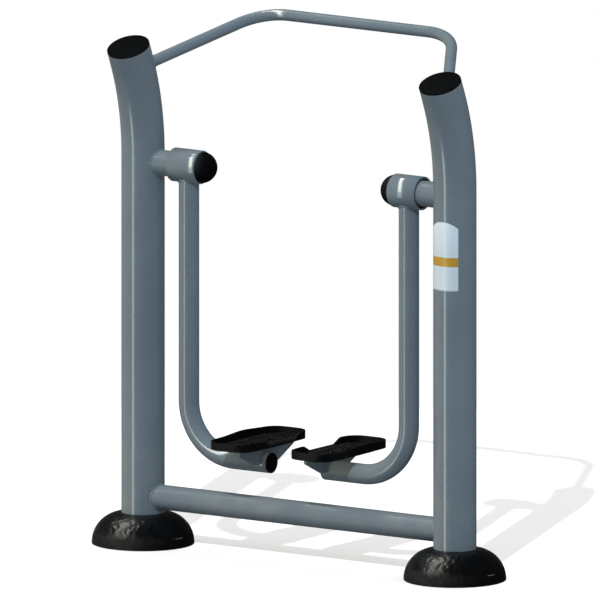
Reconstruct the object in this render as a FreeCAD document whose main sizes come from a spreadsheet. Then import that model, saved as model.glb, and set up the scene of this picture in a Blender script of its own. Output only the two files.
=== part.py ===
import FreeCAD, Part
import math
import os
import re

import Sketcher

# Outdoor air walker: two posts joined by a floor bar and a handle bar, and two arms that swing fore and
# aft about axles on the posts, each with a foot tray at its lower end.
# Millimetres, +Z up, +Y the way the user faces, +X to the user's right. The origin lies on the ground,
# midway between the two posts. The left half is drawn and the right half is its mirror image.

# Driving dimensions: name, value in millimetres or degrees, meaning.
SIZES = [
    ("post_spacing", 1100, "distance between the axes of the two posts"),
    ("post_diameter", 127, "outside diameter of a post"),
    ("post_wall", 4, "wall of a post"),
    ("post_bend_height", 1152, "height where a post starts to lean back"),
    ("post_bend_radius", 725, "centreline radius of the bend of a post"),
    ("post_bend_angle", 23.5, "lean of the top of a post, in degrees"),
    ("post_end_length", 41, "straight end of a post above its bend"),
    ("cap_rim", 3, "thickness of a post cap at its edge"),
    ("cap_rise", 7, "rise of a post cap above its edge"),
    ("cap_plug_depth", 22, "depth of a post cap's plug in the post"),
    ("cap_wall", 3, "wall of a post cap"),
    ("flange_diameter", 280, "diameter of a base flange"),
    ("flange_thickness", 14, "thickness of a base flange"),
    ("anchor_spacing", 160, "side of the square of anchor holes"),
    ("anchor_hole", 18, "diameter of an anchor hole"),
    ("gusset_thickness", 8, "thickness of a gusset"),
    ("gusset_height", 50, "height of a gusset at the post"),
    ("gusset_toe_height", 12, "height of a gusset at its outer end"),
    ("gusset_reach", 118, "distance from the post axis to a gusset's outer end"),
    ("cover_diameter", 300, "outside diameter of a base cover"),
    ("cover_corner_height", 75, "height where a cover's side and top would meet"),
    ("cover_height", 92, "height of a base cover at the post"),
    ("cover_round", 88, "radius between a cover's side and top"),
    ("cover_wall", 3, "wall of a base cover"),
    ("cover_gap", 0.5, "gap between a base cover and its post"),
    ("crossbar_diameter", 73, "outside diameter of the floor bar"),
    ("crossbar_wall", 3, "wall of the floor bar"),
    ("crossbar_height", 141, "height of the axis of the floor bar"),
    ("bar_diameter", 33.5, "outside diameter of the handle bar"),
    ("bar_wall", 2.5, "wall of the handle bar"),
    ("bar_root_drop", 2.8, "how far a handle leg's root is from the end of the post's bend, in degrees"),
    ("bar_reach", 381.6, "length of the handle frame from the posts to the grip"),
    ("bar_slope", 21.5, "slope of the handle frame, in degrees"),
    ("bar_width", 668, "width of the grip between the corners of its axis"),
    ("bar_bend_radius", 150, "centreline radius of a bend of the handle bar"),
    ("pivot_height", 1132.5, "height of the swing axis"),
    ("stub_diameter", 76, "outside diameter of a pivot stub"),
    ("stub_wall", 4, "wall of a pivot stub"),
    ("sleeve_start", 112, "distance from the post axis to a hub sleeve"),
    ("sleeve_length", 98, "length of a hub sleeve"),
    ("sleeve_diameter", 99, "outside diameter of a hub sleeve"),
    ("sleeve_wall", 5, "wall of a hub sleeve"),
    ("sleeve_round", 3.5, "rounding of a hub sleeve's inner end"),
    ("stub_lap", 12, "length of a pivot stub inside its hub sleeve"),
    ("plate_thickness", 10, "thickness of the plate in the end of a pivot stub"),
    ("seal_recess", 2.5, "depth of a hub seal in the mouth of its sleeve"),
    ("seal_width", 6, "width of a hub seal"),
    ("collar_diameter", 45, "diameter of an axle's collar"),
    ("collar_length", 2, "length of an axle's collar beyond the plate"),
    ("collar_tail", 4, "length of an axle's collar behind the plate"),
    ("axle_diameter", 35, "diameter of an axle in its bearings"),
    ("thread_diameter", 24, "diameter of an axle's threaded end"),
    ("thread_spare", 4, "length of thread beyond the nut"),
    ("bearing_diameter", 72, "outside diameter of a bearing"),
    ("bearing_width", 17, "width of a bearing"),
    ("bearing_gap", 33, "distance between the two bearings of a hub"),
    ("race_wall", 6, "wall of a bearing ring"),
    ("ball_diameter", 11, "diameter of a bearing ball"),
    ("groove_ease", 0.25, "extra radius of a ball groove"),
    ("carrier_lip", 4, "width and depth of the lip behind a bearing"),
    ("washer_diameter", 44, "diameter of an axle washer"),
    ("washer_thickness", 4, "thickness of an axle washer"),
    ("nut_flats", 36, "width across flats of an axle nut"),
    ("nut_height", 19, "height of an axle nut"),
    ("swing_limit", 45, "swing of an arm each way, in degrees"),
    ("stop_ring_wall", 6, "wall of the ring of a stop block"),
    ("stop_side_gap", 2, "gap beside a stop block"),
    ("stop_radius", 42, "radius of a stop block"),
    ("dog_half_angle", 12, "half the width of a stop dog, in degrees"),
    ("buffer_angle", 8, "width of a rubber buffer, in degrees"),
    ("hub_cap_diameter", 92, "diameter of a hub cap"),
    ("hub_cap_rim", 3, "width of the straight edge of a hub cap"),
    ("hub_cap_rise", 40, "rise of a hub cap above its edge"),
    ("hub_cap_wall", 3, "wall of a hub cap"),
    ("hub_cap_plug", 8, "depth of a hub cap in its sleeve"),
    ("arm_diameter", 60, "outside diameter of an arm"),
    ("arm_wall", 3.5, "wall of an arm"),
    ("arm_offset", 162, "distance from the post axis to an arm's upright leg"),
    ("arm_bend_radius", 158, "centreline radius of an arm's bend"),
    ("arm_leg_height", 280, "height of the axis of an arm's lower leg"),
    ("arm_end", 452, "distance from the post axis to an arm's lower end"),
    ("end_cap_thickness", 4, "thickness of an arm end cap"),
    ("end_cap_plug", 16, "depth of an arm end cap in the arm"),
    ("end_cap_round", 2.5, "rounding of an arm end cap"),
    ("bracket_width", 58, "width of a foot tray bracket"),
    ("bracket_length", 281, "length of a foot tray bracket"),
    ("bracket_sheet", 4, "thickness of a bracket's top"),
    ("bracket_web", 10, "thickness of a bracket's side"),
    ("bracket_lip", 17, "depth of a bracket's side at its ends"),
    ("bracket_foot", 120, "length of the lower edge of a bracket's side"),
    ("tray_height", 335, "height of the underside of a foot tray"),
    ("tray_offset", 408, "distance from the post axis to the middle of a foot tray"),
    ("tray_setback", 3, "distance of a tray's middle behind the arm"),
    ("tray_length", 345, "length of a foot tray at its corners"),
    ("tray_crown", 3, "extra length of a foot tray at its middle"),
    ("tray_end_width", 140, "width of a foot tray at its ends"),
    ("tray_width", 155, "width between the corners of a foot tray's middle"),
    ("tray_side_radius", 1600, "radius of a foot tray's long sides"),
    ("tray_end_radius", 320, "radius of a foot tray's ends"),
    ("tray_corner", 50, "radius of a foot tray's corners"),
    ("tray_floor", 5, "thickness of a foot tray's floor"),
    ("tray_wall", 6, "thickness of a foot tray's rim"),
    ("rim_height", 23, "height of a foot tray's rim"),
    ("rim_crest", 29, "height of the rim's crest on the outer side"),
    ("crest_place", 30, "distance of the crest in front of the tray's middle"),
    ("crest_length", 190, "length of the rim's crest"),
    ("crest_round", 500, "radius of the rim's crest"),
    ("dip_height", 6.5, "height of the rim where it dips on the inner side"),
    ("dip_length", 124, "length of the bottom of the dip"),
    ("dip_place", 17, "distance of the dip in front of the tray's middle"),
    ("dip_ramp", 32, "length of a ramp of the dip"),
    ("dip_round", 20, "radius at the ends of a ramp"),
    ("bolt_diameter", 8, "diameter of a tray bolt"),
    ("bolt_head", 18, "diameter of a tray bolt's head"),
    ("bolt_head_height", 4, "height of a tray bolt's head"),
    ("bolt_length", 17, "length of a tray bolt under its head"),
    ("bolt_near", 45, "distance from the bracket's middle to the near bolts"),
    ("bolt_far", 120, "distance from the bracket's middle to the far bolts"),
    ("tray_nut_flats", 13, "width across flats of a tray nut"),
    ("tray_nut_height", 6.5, "height of a tray nut"),
    ("plate_sheet", 1, "thickness of the notice plate"),
    ("plate_bottom", 863, "height of the notice plate's lower edge"),
    ("plate_side_height", 185, "height of the notice plate at its sides"),
    ("plate_arch_rise", 20, "rise of the notice plate's arched top"),
    ("plate_corner", 5, "radius of the notice plate's lower corners"),
    ("plate_half_angle", 43, "half the notice plate's wrap round the post, in degrees"),
    ("weld_gap", 0.1, "gap left at a welded saddle"),
    ("fit_gap", 0.05, "radial gap between pieces that are fixed in each other"),
    ("bolt_gap", 0.5, "radial gap round a bolt"),
    ("running_gap", 0.3, "gap between curved faces that move past each other"),
]
BALLS_PER_BEARING = 9

VALUES = {alias: value for alias, value, meaning in SIZES}

# Lengths that several pieces share, as expressions of the cells.
POST_RADIUS = "post_diameter / 2"
POST_BORE = "(post_diameter / 2 - post_wall)"
POST_TOP_BACK = "(post_bend_radius * (1 - cos(post_bend_angle)) + post_end_length * sin(post_bend_angle))"
POST_TOP_HEIGHT = (
    "(post_bend_height + post_bend_radius * sin(post_bend_angle) + post_end_length * cos(post_bend_angle))"
)
BAR_ROOT_BACK = "(post_bend_radius * (1 - cos(post_bend_angle - bar_root_drop)))"
BAR_ROOT_HEIGHT = "(post_bend_height + post_bend_radius * sin(post_bend_angle - bar_root_drop))"
STUB_END = "(sleeve_start + stub_lap)"
STUB_BORE = "(stub_diameter / 2 - stub_wall)"
SLEEVE_END = "(sleeve_start + sleeve_length)"
SLEEVE_BORE = "(sleeve_diameter / 2 - sleeve_wall)"
COLLAR_END = f"({STUB_END} + collar_length)"
FIRST_BEARING = COLLAR_END
FIRST_BEARING_END = f"({FIRST_BEARING} + bearing_width)"
SECOND_BEARING = f"({FIRST_BEARING_END} + bearing_gap)"
SECOND_BEARING_END = f"({SECOND_BEARING} + bearing_width)"
WASHER_END = f"({SECOND_BEARING_END} + washer_thickness)"
NUT_END = f"({WASHER_END} + nut_height)"
INNER_RACE = "(axle_diameter / 2 + race_wall)"
OUTER_RACE = "(bearing_diameter / 2 - race_wall)"
BALL_CIRCLE = "((axle_diameter + bearing_diameter) / 4)"
STOP_START = f"({FIRST_BEARING_END} + carrier_lip + stop_side_gap)"
STOP_END = f"({SECOND_BEARING} - carrier_lip - stop_side_gap)"
STOP_RING = "(collar_diameter / 2 + stop_ring_wall)"
BUFFER_FACE = "(dog_half_angle + swing_limit + 0.5)"
HALF_SPACING = "(post_spacing / 2)"


def bound(text):
    """Turn the names of cells in an expression into references to the sheet."""
    return re.sub(r"\b[a-z_]+\b", lambda word: "Dims." + word[0] if word[0] in VALUES else word[0], text)


def number(owner, text):
    """The present value of an expression."""
    value = owner.evalExpression(bound(text))
    return float(getattr(value, "Value", value))


def size_sheet(doc):
    """The sheet of driving dimensions."""
    sheet = doc.addObject("Spreadsheet::Sheet", "Dims")
    for row, (alias, value, meaning) in enumerate(SIZES, start=1):
        sheet.set(f"A{row}", meaning)
        sheet.set(f"B{row}", str(value))
        sheet.setAlias(f"B{row}", alias)
    doc.recompute()


def place(piece, x="0", y="0", z="0", axis=None, angle="0"):
    """Put a piece at a bound point, turned by a bound angle about an axis."""
    if axis:
        turn = FreeCAD.Rotation(FreeCAD.Vector(*axis), number(piece, angle))
        piece.Placement = FreeCAD.Placement(FreeCAD.Vector(), turn)
        if angle != "90":
            piece.setExpression("Placement.Rotation.Angle", bound(angle))
    for name, text in (("x", x), ("y", y), ("z", z)):
        if text != "0":
            piece.setExpression(f"Placement.Base.{name}", bound(text))
    return piece


def at_post(piece, z="0"):
    """Put a piece of the left half on the axis of the left post."""
    return place(piece, x=f"-{HALF_SPACING}", z=z)


def at_pivot(piece):
    """Put a piece of the left hub at the left end of the swing axis."""
    return at_post(piece, z="pivot_height")


def new_sketch(body, name, role, offset=None):
    """A sketch on one of a body's own planes, lifted off it by a bound length."""
    sketch = body.newObject("Sketcher::SketchObject", name)
    sketch.AttachmentSupport = [(plane, "") for plane in body.Origin.OriginFeatures if plane.Role == role]
    sketch.MapMode = "FlatFace"
    if offset:
        sketch.setExpression("AttachmentOffset.Base.z", bound(offset))
    return sketch


def pin(sketch, curve, end, x, y):
    """Hold a point of a sketch at bound distances from the sketch's origin."""
    for kind, text, axis in (("DistanceX", x, -2), ("DistanceY", y, -1)):
        if text == "0":
            sketch.addConstraint(Sketcher.Constraint("PointOnObject", curve, end, axis))
            continue
        index = sketch.addConstraint(Sketcher.Constraint(kind, -1, 1, curve, end, number(sketch, text)))
        sketch.setExpression(f"Constraints[{index}]", bound(text))


def add_arc(sketch, centre, start, end):
    """Add the short arc from start to end; give its number and the numbers of those two ends."""
    first = math.atan2(start.y - centre.y, start.x - centre.x)
    last = math.atan2(end.y - centre.y, end.x - centre.x)
    forwards = (last - first) % (2 * math.pi) < math.pi
    if not forwards:
        first, last = last, first
    circle = Part.Circle(centre, FreeCAD.Vector(0, 0, 1), (start - centre).Length)
    curve = sketch.addGeometry(Part.ArcOfCircle(circle, first, last), False)
    return (curve, 1, 2) if forwards else (curve, 2, 1)


def round_corner(sketch, before, after, point, radius):
    """Join two lines that end short of a corner with a tangent arc of a bound radius."""
    start = sketch.getPoint(before[0], before[2])
    end = sketch.getPoint(after[0], after[1])
    middle = (start + end) / 2
    size = number(sketch, radius)
    reach = math.hypot(size, (start - point).Length)
    centre = point + (middle - point).normalize() * reach
    arc = add_arc(sketch, centre, start, end)
    sketch.addConstraint(Sketcher.Constraint("Tangent", before[0], before[2], arc[0], arc[1]))
    sketch.addConstraint(Sketcher.Constraint("Tangent", after[0], after[1], arc[0], arc[2]))
    index = sketch.addConstraint(Sketcher.Constraint("Radius", arc[0], size))
    sketch.setExpression(f"Constraints[{index}]", bound(radius))


def draw(sketch, corners, closed=True, dome_axis=None):
    """Draw a line through bound corners.

    A corner is (x, y), or (x, y, radius) where it is rounded. After a corner (x, y, "dome") the line
    goes to the next corner along an arc whose centre lies on dome_axis.
    """
    count = len(corners)
    points = [FreeCAD.Vector(number(sketch, c[0]), number(sketch, c[1]), 0) for c in corners]
    radii = [c[2] if len(c) > 2 and c[2] != "dome" else None for c in corners]

    def trimmed(index, other):
        """The end, near one corner, of the line that comes from another corner."""
        if radii[index] is None:
            return points[index]
        before = (points[index - 1] - points[index]).normalize()
        after = (points[(index + 1) % count] - points[index]).normalize()
        length = number(sketch, radii[index]) / math.tan(before.getAngle(after) / 2)
        return points[index] + (points[other] - points[index]).normalize() * length

    edges = []
    for index in range(count if closed else count - 1):
        following = (index + 1) % count
        if len(corners[index]) > 2 and corners[index][2] == "dome":
            a = points[index]
            b = points[following]
            if dome_axis == -1:
                centre = FreeCAD.Vector((a.Length**2 - b.Length**2) / (2 * (a.x - b.x)), 0, 0)
            else:
                centre = FreeCAD.Vector(0, (a.Length**2 - b.Length**2) / (2 * (a.y - b.y)), 0)
            edge = add_arc(sketch, centre, a, b)
            sketch.addConstraint(Sketcher.Constraint("PointOnObject", edge[0], 3, dome_axis))
        else:
            line = Part.LineSegment(trimmed(index, following), trimmed(following, index))
            edge = (sketch.addGeometry(line, False), 1, 2)
        edges.append(edge)

    for index, corner in enumerate(corners):
        if not closed and index == count - 1:
            pin(sketch, edges[-1][0], edges[-1][2], corner[0], corner[1])
            continue
        after = edges[index]
        if radii[index] is None:
            pin(sketch, after[0], after[1], corner[0], corner[1])
            if closed or index:
                before = edges[index - 1]
                sketch.addConstraint(
                    Sketcher.Constraint("Coincident", before[0], before[2], after[0], after[1])
                )
            continue
        before = edges[index - 1]
        mark = sketch.addGeometry(Part.Point(points[index]), True)
        pin(sketch, mark, 1, corner[0], corner[1])
        sketch.addConstraint(Sketcher.Constraint("PointOnObject", mark, 1, before[0]))
        sketch.addConstraint(Sketcher.Constraint("PointOnObject", mark, 1, after[0]))
        round_corner(sketch, before, after, points[index], radii[index])


def draw_circle(sketch, x, y, radius):
    """Draw a circle with a bound centre and radius."""
    centre = FreeCAD.Vector(number(sketch, x), number(sketch, y), 0)
    size = number(sketch, radius)
    curve = sketch.addGeometry(Part.Circle(centre, FreeCAD.Vector(0, 0, 1), size), False)
    pin(sketch, curve, 3, x, y)
    index = sketch.addConstraint(Sketcher.Constraint("Radius", curve, size))
    sketch.setExpression(f"Constraints[{index}]", bound(radius))


def turned(doc, name, corners, axis="H_Axis", angle=None):
    """A body turned from an outline about the X axis (H_Axis) or the Z axis (V_Axis)."""
    body = doc.addObject("PartDesign::Body", name)
    sketch = new_sketch(body, name + "_outline", "XZ_Plane")
    draw(sketch, corners, dome_axis=-1 if axis == "H_Axis" else -2)
    turn = body.newObject("PartDesign::Revolution", name + "_turned")
    turn.Profile = sketch
    turn.ReferenceAxis = (sketch, [axis])
    if angle:
        turn.Midplane = True
        turn.setExpression("Angle", bound(angle))
    return body


def ring(doc, name, start, end, bore, outside, angle=None):
    """A plain ring, or a slice of one, about the X axis."""
    return turned(doc, name, [(start, bore), (start, outside), (end, outside), (end, bore)], angle=angle)


def padded(doc, name, role, corners, length, both_ways=False, dome_axis=None):
    """A body padded from an outline on one of its planes."""
    body = doc.addObject("PartDesign::Body", name)
    sketch = new_sketch(body, name + "_outline", role)
    draw(sketch, corners, dome_axis=dome_axis)
    pad = body.newObject("PartDesign::Pad", name + "_pad")
    pad.Profile = sketch
    pad.Midplane = both_ways
    pad.setExpression("Length", bound(length))
    return body


def pocket(doc, body, name, role, corners, depth, offset=None, reverse=False):
    """Cut a pocket of a given outline in a body, and make sure that it removes material."""
    doc.recompute()
    volume = body.Shape.Volume
    sketch = new_sketch(body, name + "_outline", role, offset)
    draw(sketch, corners)
    cut = body.newObject("PartDesign::Pocket", name)
    cut.Profile = sketch
    cut.Reversed = reverse
    cut.setExpression("Length", bound(depth))
    doc.recompute()
    if body.Shape.Volume >= volume:
        raise RuntimeError(name + " cuts nothing")
    return cut


def piped(doc, name, role, corners, outside, bore=None, centre="0"):
    """A round bar or tube along a bent line that starts square to the XY plane."""
    body = doc.addObject("PartDesign::Body", name)
    path = new_sketch(body, name + "_path", role)
    draw(path, corners, closed=False)
    section = new_sketch(body, name + "_section", "XY_Plane")
    draw_circle(section, centre, "0", outside)
    if bore:
        draw_circle(section, centre, "0", bore)
    pipe = body.newObject("PartDesign::AdditivePipe", name + "_pipe")
    pipe.Profile = section
    pipe.Spine = path
    return body


def cylinder(doc, name, radius, length):
    """A plain cylinder along Z."""
    piece = doc.addObject("Part::Cylinder", name)
    piece.setExpression("Radius", bound(radius))
    piece.setExpression("Height", bound(length))
    return piece


def less(doc, name, base, tool):
    """The base with the tool's shape taken out of it."""
    cut = doc.addObject("Part::Cut", name)
    cut.Base = base
    cut.Tool = tool
    return cut


def group(doc, name, pieces):
    """Like pieces kept as separate solids in one node."""
    compound = doc.addObject("Part::Compound", name)
    compound.Links = pieces
    return compound


def mirrored(doc, piece, name):
    """The piece's twin on the other side of the middle plane."""
    twin = doc.addObject("Part::Mirroring", name)
    twin.Source = piece
    twin.Normal = FreeCAD.Vector(1, 0, 0)
    return twin


def post_bar(doc, name, radius):
    """A round bar along the axis of the left post, which leans back at its top."""
    top_back = f"-{POST_TOP_BACK}"
    bend_length = "post_bend_radius * tan(post_bend_angle / 2)"
    corners = [
        ("0", "0"),
        ("0", f"post_bend_height - flange_thickness + {bend_length}", "post_bend_radius"),
        (top_back, f"{POST_TOP_HEIGHT} - flange_thickness"),
    ]
    return at_post(piped(doc, name, "YZ_Plane", corners, radius), z="flange_thickness")


def post(doc):
    """A tube that stands on its flange and leans back above the pivot."""
    outside = post_bar(doc, "post_outside", POST_RADIUS)
    inside = post_bar(doc, "post_inside", POST_BORE)
    return less(doc, "left_post", outside, inside)


def post_cap(doc):
    """A domed plastic cap with a hollow plug in the top of the post."""
    plug = f"{POST_BORE} - fit_gap"
    corners = [
        ("0", "0"),
        (f"{plug} - cap_wall", "0"),
        (f"{plug} - cap_wall", "-cap_plug_depth"),
        (plug, "-cap_plug_depth"),
        (plug, "0"),
        (POST_RADIUS, "0"),
        (POST_RADIUS, "cap_rim", "dome"),
        ("0", "cap_rim + cap_rise"),
    ]
    cap = turned(doc, "left_post_cap", corners, axis="V_Axis")
    return place(
        cap,
        x=f"-{HALF_SPACING}",
        y=f"-{POST_TOP_BACK}",
        z=POST_TOP_HEIGHT,
        axis=(1, 0, 0),
        angle="post_bend_angle",
    )


def base_flange(doc):
    """A round plate with four anchor holes."""
    body = doc.addObject("PartDesign::Body", "left_base_flange")
    outline = new_sketch(body, "flange_outline", "XY_Plane")
    draw_circle(outline, "0", "0", "flange_diameter / 2")
    pad = body.newObject("PartDesign::Pad", "flange_pad")
    pad.Profile = outline
    pad.setExpression("Length", bound("flange_thickness"))
    doc.recompute()
    solid_volume = body.Shape.Volume
    hole_outline = new_sketch(body, "anchor_hole_outline", "XY_Plane")
    draw_circle(hole_outline, "anchor_spacing / 2", "anchor_spacing / 2", "anchor_hole / 2")
    hole = body.newObject("PartDesign::Pocket", "anchor_hole_pocket")
    hole.Profile = hole_outline
    hole.Type = "ThroughAll"
    hole.Reversed = True
    doc.recompute()
    holes = body.newObject("PartDesign::PolarPattern", "anchor_holes")
    holes.Originals = [hole]
    holes.Axis = (hole_outline, ["N_Axis"])
    holes.Angle = 360
    holes.Occurrences = 4
    body.Tip = holes
    doc.recompute()
    hole_area = math.pi * (VALUES["anchor_hole"] / 2) ** 2
    removed = solid_volume - body.Shape.Volume
    if abs(removed - 4 * hole_area * VALUES["flange_thickness"]) > 1:
        raise RuntimeError("the anchor holes are not cut")
    return at_post(body)


def base_gussets(doc, post_tool):
    """Four plates between the flange and the post."""
    half = "gusset_reach"
    corners = [
        (f"-{half}", "0"),
        (half, "0"),
        (half, "gusset_toe_height"),
        (POST_RADIUS, "gusset_height"),
        (f"-({POST_RADIUS})", "gusset_height"),
        (f"-{half}", "gusset_toe_height"),
    ]
    plates = [
        padded(doc, f"gusset_plate_{role[:2].lower()}", role, corners, "gusset_thickness", both_ways=True)
        for role in ("XZ_Plane", "YZ_Plane")
    ]
    for plate in plates:
        at_post(plate, z="flange_thickness")
    crossed = doc.addObject("Part::Fuse", "gusset_cross")
    crossed.Base, crossed.Tool = plates
    return less(doc, "left_base_gussets", crossed, post_tool)


def base_cover(doc):
    """A domed plastic skirt that hides the flange and its bolts."""
    corners = [
        ("cover_diameter / 2 - cover_wall", "0"),
        ("cover_diameter / 2", "0"),
        ("cover_diameter / 2", "cover_corner_height", "cover_round"),
        (f"{POST_RADIUS} + cover_gap", "cover_height"),
        (f"{POST_RADIUS} + cover_gap", "cover_height - cover_wall"),
        ("cover_diameter / 2 - cover_wall", "cover_corner_height - cover_wall", "cover_round - cover_wall"),
    ]
    return at_post(turned(doc, "left_base_cover", corners, axis="V_Axis"))


def crossbar(doc, post_tools):
    """The bar between the posts, with its ends cut to fit round them."""
    body = doc.addObject("PartDesign::Body", "crossbar_tube")
    section = new_sketch(body, "crossbar_section", "YZ_Plane")
    draw_circle(section, "0", "0", "crossbar_diameter / 2")
    draw_circle(section, "0", "0", "crossbar_diameter / 2 - crossbar_wall")
    pad = body.newObject("PartDesign::Pad", "crossbar_pad")
    pad.Profile = section
    pad.Midplane = True
    pad.setExpression("Length", bound("post_spacing"))
    place(body, z="crossbar_height")
    return less(doc, "crossbar", body, post_tools)


def handlebar(doc, post_tools):
    """The handle bar: two legs from the posts and a grip across them, bent from one tube."""
    body = doc.addObject("PartDesign::Body", "handlebar_tube")
    path = new_sketch(body, "handlebar_path", "XY_Plane")
    corners = [
        (f"-{HALF_SPACING}", "0"),
        ("-bar_width / 2", "bar_reach", "bar_bend_radius"),
        ("bar_width / 2", "bar_reach", "bar_bend_radius"),
        (HALF_SPACING, "0"),
    ]
    draw(path, corners, closed=False)
    section = body.newObject("Sketcher::SketchObject", "handlebar_section")
    section.AttachmentSupport = [(path, "Edge1")]
    section.MapMode = "NormalToEdge"
    section.MapPathParameter = 0
    draw_circle(section, "0", "0", "bar_diameter / 2")
    draw_circle(section, "0", "0", "bar_diameter / 2 - bar_wall")
    pipe = body.newObject("PartDesign::AdditivePipe", "handlebar_pipe")
    pipe.Profile = section
    pipe.Spine = path
    place(body, y=f"-{BAR_ROOT_BACK}", z=BAR_ROOT_HEIGHT, axis=(1, 0, 0), angle="bar_slope")
    return less(doc, "handlebar", body, post_tools)


def pivot_stub(doc, post_tool):
    """A short tube welded to the post, which carries the axle."""
    tube = at_pivot(ring(doc, "stub_tube", "0", STUB_END, STUB_BORE, "stub_diameter / 2"))
    return less(doc, "left_pivot_stub", tube, post_tool)


def pivot_plate(doc):
    """The disc in the end of the stub that holds the axle."""
    outside = f"{STUB_BORE} - fit_gap"
    bore = "collar_diameter / 2 + fit_gap"
    return at_pivot(
        ring(doc, "left_pivot_plate", f"{STUB_END} - plate_thickness", STUB_END, bore, outside)
    )


def hub_seal(doc):
    """The rubber ring that closes the mouth of the sleeve round the stub."""
    start = "(sleeve_start + seal_recess)"
    bore = "stub_diameter / 2 + fit_gap"
    outside = f"{SLEEVE_BORE} - running_gap"
    return at_pivot(ring(doc, "left_hub_seal", start, f"{start} + seal_width", bore, outside))


def axle(doc):
    """The shaft, with a collar in the plate and a threaded end."""
    corners = [
        (f"{STUB_END} - plate_thickness - collar_tail", "0"),
        (f"{STUB_END} - plate_thickness - collar_tail", "collar_diameter / 2"),
        (COLLAR_END, "collar_diameter / 2"),
        (COLLAR_END, "axle_diameter / 2"),
        (f"{SECOND_BEARING_END} - 1", "axle_diameter / 2"),
        (f"{SECOND_BEARING_END} - 1", "thread_diameter / 2"),
        (f"{NUT_END} + thread_spare", "thread_diameter / 2"),
        (f"{NUT_END} + thread_spare", "0"),
    ]
    return at_pivot(turned(doc, "left_axle", corners))


def bearing_starts():
    """Where each bearing of a hub starts, from the post axis."""
    return (("near", FIRST_BEARING), ("far", SECOND_BEARING))


def grooved_ring(doc, name, start, bore, outside, circle, groove):
    """One ring of a bearing, with a ball groove of the given circle and radius."""
    plain = at_pivot(ring(doc, name + "_plain", start, f"{start} + bearing_width", bore, outside))
    torus = doc.addObject("Part::Torus", name + "_groove")
    torus.setExpression("Radius1", bound(circle))
    torus.setExpression("Radius2", bound(groove))
    place(
        torus,
        x=f"{start} + bearing_width / 2 - {HALF_SPACING}",
        z="pivot_height",
        axis=(0, 1, 0),
        angle="90",
    )
    return less(doc, name, plain, torus)


def bearing_inner_rings(doc):
    """The rings that sit on the axle."""
    groove = "ball_diameter / 2 + groove_ease"
    circle = f"{BALL_CIRCLE} + groove_ease - fit_gap"
    rings = [
        grooved_ring(
            doc, f"inner_ring_{label}", start, "axle_diameter / 2 + fit_gap", INNER_RACE, circle, groove
        )
        for label, start in bearing_starts()
    ]
    return group(doc, "left_bearing_inner_rings", rings)


def bearing_outer_rings(doc):
    """The rings that sit in the carriers and turn with the arm."""
    groove = "ball_diameter / 2 + groove_ease + running_gap"
    circle = f"{BALL_CIRCLE} - groove_ease"
    rings = [
        grooved_ring(
            doc, f"outer_ring_{label}", start, OUTER_RACE, "bearing_diameter / 2 - fit_gap", circle, groove
        )
        for label, start in bearing_starts()
    ]
    return group(doc, "left_bearing_outer_rings", rings)


def bearing_balls(doc):
    """The balls of both bearings of a hub."""
    balls = []
    for label, start in bearing_starts():
        for index in range(BALLS_PER_BEARING):
            turn = 360 * index / BALLS_PER_BEARING
            ball = doc.addObject("Part::Sphere", f"ball_{label}_{index + 1}")
            ball.setExpression("Radius", bound("ball_diameter / 2"))
            place(
                ball,
                x=f"{start} + bearing_width / 2 - {HALF_SPACING}",
                y=f"{BALL_CIRCLE} * cos({turn})",
                z=f"pivot_height + {BALL_CIRCLE} * sin({turn})",
            )
            balls.append(ball)
    return group(doc, "left_bearing_balls", balls)


def bearing_spacer(doc):
    """The tube that keeps the two inner rings apart."""
    bore = "axle_diameter / 2 + fit_gap"
    outside = "collar_diameter / 2"
    return at_pivot(
        ring(doc, "left_bearing_spacer", FIRST_BEARING_END, SECOND_BEARING, bore, outside)
    )


def bearing_carriers(doc):
    """Two lipped rings in the sleeve that hold the bearings' outer rings."""
    outside = f"{SLEEVE_BORE} - fit_gap"
    seat = "bearing_diameter / 2"
    lip = "bearing_diameter / 2 - carrier_lip"
    near = [
        (FIRST_BEARING, seat),
        (FIRST_BEARING, outside),
        (f"{FIRST_BEARING_END} + carrier_lip", outside),
        (f"{FIRST_BEARING_END} + carrier_lip", lip),
        (FIRST_BEARING_END, lip),
        (FIRST_BEARING_END, seat),
    ]
    far = [
        (SECOND_BEARING_END, seat),
        (SECOND_BEARING_END, outside),
        (f"{SECOND_BEARING} - carrier_lip", outside),
        (f"{SECOND_BEARING} - carrier_lip", lip),
        (SECOND_BEARING, lip),
        (SECOND_BEARING, seat),
    ]
    carriers = [
        at_pivot(turned(doc, "carrier_near", near)),
        at_pivot(turned(doc, "carrier_far", far)),
    ]
    return group(doc, "left_bearing_carriers", carriers)


def axle_washer(doc):
    """The washer that clamps the inner rings."""
    bore = "thread_diameter / 2 + bolt_gap"
    return at_pivot(
        ring(doc, "left_axle_washer", SECOND_BEARING_END, WASHER_END, bore, "washer_diameter / 2")
    )


def hex_nut(doc, name, flats, height, hole):
    """A hexagon nut along Z, with a plain bore."""
    blank = doc.addObject("Part::Prism", name + "_blank")
    blank.Polygon = 6
    blank.setExpression("Circumradius", bound(f"{flats} / 2 / cos(30)"))
    blank.setExpression("Height", bound(height))
    return less(doc, name, blank, cylinder(doc, name + "_bore", f"{hole} / 2 + fit_gap", height))


def axle_nut(doc):
    """The nut on the end of the axle."""
    nut = hex_nut(doc, "left_axle_nut", "nut_flats", "nut_height", "thread_diameter")
    return place(nut, x=f"{WASHER_END} - {HALF_SPACING}", z="pivot_height", axis=(0, 1, 0), angle="90")


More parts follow.
